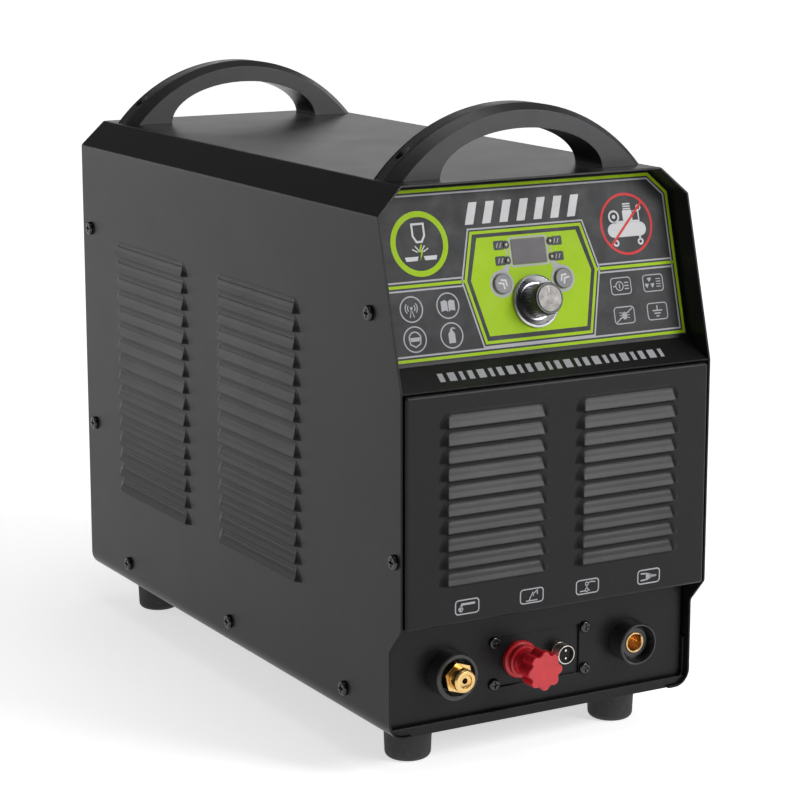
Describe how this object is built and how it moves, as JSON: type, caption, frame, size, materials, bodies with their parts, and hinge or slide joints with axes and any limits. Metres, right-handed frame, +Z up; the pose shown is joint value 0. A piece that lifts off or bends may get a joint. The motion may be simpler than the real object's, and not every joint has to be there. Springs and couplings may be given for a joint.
{
  "type": "plasma cutter unit",
  "caption": "Box-shaped plasma cutter power unit with two arched handles, louvred sheet-metal casing, slanted control panel and a row of front sockets.",
  "frame": {"origin": "centre of the overall footprint, level with the undersides of the feet", "axes": "+Z up, the control panel faces -Y, +X to the right seen from the front"},
  "size_m": [0.2872, 0.627, 0.5077],
  "materials": {
    "powder_black": "satin fine-texture powder coat",
    "zinc_steel": "zinc plated sheet",
    "screw_steel": "dark plated",
    "black_plastic": "satin moulded",
    "foot_rubber": "matt",
    "label_film": "printed satin film",
    "display_tint": "smoked gloss",
    "lamp_lens": "diffuse lens",
    "knob_black": "satin moulded",
    "silver": "spun satin",
    "shaft_steel": "turned",
    "button_black": "satin moulded",
    "board_green": "solder mask",
    "brass": "turned",
    "contact_copper": "turned",
    "nickel": "bright plated",
    "knob_red": "moulded",
    "cast_alloy": "as cast",
    "motor_paint": "gloss",
    "core_steel": "varnished laminations",
    "winding_copper": "enamelled wire",
    "sink_aluminium": "extruded",
    "can_sleeve": "shrink sleeve",
    "pipe_metal": "drawn"
  },
  "bodies": {
    "housing": {"air_pipes": "pipe_metal", "base_tray": "powder_black", "board_standoffs": "screw_steel", "button_switches": "black_plastic", "cable_gland": "black_plastic", "capacitors": "can_sleeve", "compressor_motor": "motor_paint", "compressor_pump": "cast_alloy", "connector_panel": "powder_black", "connector_plate": "powder_black", "control_board": "board_green", "control_insert": "black_plastic", "control_label": "label_film", "control_panel": "powder_black", "control_pins": "nickel", "control_shell": "nickel", "cover": "powder_black", "cover_screws": "screw_steel", "deck": "zinc_steel", "display_window": "display_tint", "earth_collar": "black_plastic", "earth_contact": "contact_copper", "encoder_body": "black_plastic", "fan_frame": "black_plastic", "fan_guard": "nickel", "foot_front_left": "foot_rubber", "foot_front_right": "foot_rubber", "foot_rear_left": "foot_rubber", "foot_rear_right": "foot_rubber", "foot_screws": "screw_steel", "front_handle": "black_plastic", "gland_nut": "black_plastic", "handle_screws": "screw_steel", "heat_sink": "sink_aluminium", "indicator_leds": "lamp_lens", "inverter_board": "board_green", "knob_dial": "silver", "louvre_panel": "powder_black", "plate_screws": "screw_steel", "rear_handle": "black_plastic", "rear_panel": "powder_black", "rear_screws": "screw_steel", "regulator_body": "cast_alloy", "regulator_bush": "knob_red", "solenoid_valve": "cast_alloy", "switch_body": "black_plastic", "torch_collar": "black_plastic", "torch_nipple": "brass", "torch_nut": "brass", "transformer_core": "core_steel", "transformer_winding": "winding_copper"},
    "fan": {"fan_rotor": "black_plastic"},
    "current_control": {"current_knob": "knob_black", "knob_cap": "silver", "encoder_shaft": "shaft_steel"},
    "left_button": {"button_left": "button_black"},
    "right_button": {"button_right": "button_black"},
    "regulator_spindle": {"regulator_stem": "shaft_steel"},
    "regulator_grip": {"regulator_knob": "knob_red"},
    "mains_rocker": {"switch_rocker": "knob_black"}
  },
  "joints": [
    {"name": "fan_spin", "type": "hinge", "parent": "housing", "child": "fan", "pos_m": [0, 0.2665, 0.331], "axis": [0, 1, 0], "continuous": true},
    {"name": "current_knob_turn", "type": "hinge", "parent": "housing", "child": "current_control", "pos_m": [0, -0.27395, 0.36063], "axis": [0, -0.9654, 0.2607], "range_deg": [-150, 150]},
    {"name": "left_button_press", "type": "slide", "parent": "housing", "child": "left_button", "axis": [0, 0.9654, -0.2607], "range_m": [0, 0.0008], "stiffness_N_per_m": 800},
    {"name": "right_button_press", "type": "slide", "parent": "housing", "child": "right_button", "axis": [0, 0.9654, -0.2607], "range_m": [0, 0.0008], "stiffness_N_per_m": 800},
    {"name": "regulator_turn", "type": "hinge", "parent": "housing", "child": "regulator_spindle", "pos_m": [-0.018, -0.272, 0.078], "axis": [0, -1, 0], "range_deg": [-450, 450]},
    {"name": "regulator_pull", "type": "slide", "parent": "regulator_spindle", "child": "regulator_grip", "axis": [0, -1, 0], "range_m": [0, 0.004]},
    {"name": "mains_switch_rock", "type": "hinge", "parent": "housing", "child": "mains_rocker", "pos_m": [-0.092, 0.284, 0.13], "axis": [1, 0, 0], "range_deg": [0, 20]}
  ]
}
